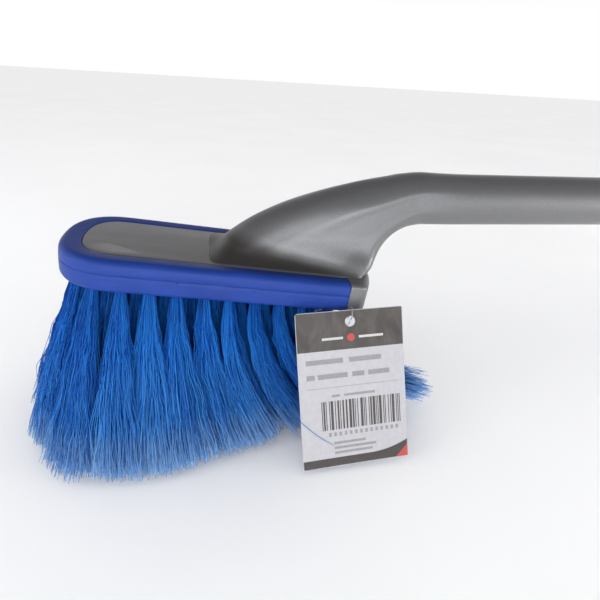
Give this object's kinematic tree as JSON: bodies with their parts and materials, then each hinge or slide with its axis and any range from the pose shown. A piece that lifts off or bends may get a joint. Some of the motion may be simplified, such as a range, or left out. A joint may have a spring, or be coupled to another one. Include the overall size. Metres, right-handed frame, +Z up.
{
  "type": "wheel brush",
  "caption": "Long-handled wheel brush: flared soft tufts in a flat block with a rubber bumper, a swan-neck tube handle with grip and hanging hole, and a card swing tag.",
  "frame": {"origin": "bottom centre of the box: on the surface that the brush stands on, halfway along its length and halfway across it; as the swing tag stands out on one side, the plane of symmetry of the brush itself lies 2.5 mm towards +Y", "axes": "+X along the level handle tube towards its end cap, +Z up, so the toe of the head points to -X and the swing tag hangs on the -Y side"},
  "size_m": [0.5166, 0.1358, 0.1332],
  "materials": {
    "silver_plastic": "satin",
    "bumper_rubber": "satin",
    "grip_rubber": "matte",
    "cap_plastic": "satin",
    "fibre": "satin",
    "card": "satin",
    "nylon": "gloss"
  },
  "bodies": {
    "brush": {"handle_and_block": "silver_plastic", "bumper": "bumper_rubber", "grip_sleeve": "grip_rubber", "end_cap": "cap_plastic", "tuft_01": "fibre", "tuft_02": "fibre", "tuft_03": "fibre", "tuft_04": "fibre", "tuft_05": "fibre", "tuft_06": "fibre", "tuft_07": "fibre", "tuft_08": "fibre", "tuft_09": "fibre", "tuft_10": "fibre", "tuft_11": "fibre", "tuft_12": "fibre", "tuft_13": "fibre", "tuft_14": "fibre", "tuft_15": "fibre", "tuft_16": "fibre", "tuft_17": "fibre", "tuft_18": "fibre", "tuft_19": "fibre", "tuft_20": "fibre", "tuft_21": "fibre", "tuft_22": "fibre", "tuft_23": "fibre", "tuft_24": "fibre", "tuft_25": "fibre", "tuft_26": "fibre", "tuft_27": "fibre", "tuft_28": "fibre", "tuft_29": "fibre", "tuft_30": "fibre", "tuft_31": "fibre", "tuft_32": "fibre", "tuft_33": "fibre", "tuft_34": "fibre", "tuft_35": "fibre", "tuft_36": "fibre", "tuft_37": "fibre", "tuft_38": "fibre", "tuft_39": "fibre", "tuft_40": "fibre", "tuft_41": "fibre", "tuft_42": "fibre", "tuft_43": "fibre", "tuft_44": "fibre", "tuft_45": "fibre", "tuft_46": "fibre", "tuft_47": "fibre", "tuft_48": "fibre", "tuft_49": "fibre", "tuft_50": "fibre", "tuft_51": "fibre"},
    "loop": {"tag_loop": "nylon"},
    "tag": {"swing_tag": "card"}
  },
  "joints": [
    {"name": "loop_turn", "type": "hinge", "parent": "brush", "child": "loop", "pos_m": [-0.09823, -0.03875, 0.0685], "axis": [0.0466, -0.92, 0.3891], "range_deg": [-20, 20]},
    {"name": "tag_flap", "type": "hinge", "parent": "loop", "child": "tag", "pos_m": [-0.09823, -0.03875, 0.0685], "axis": [-0.9969, -0.0675, -0.0402], "range_deg": [0, 65]}
  ]
}
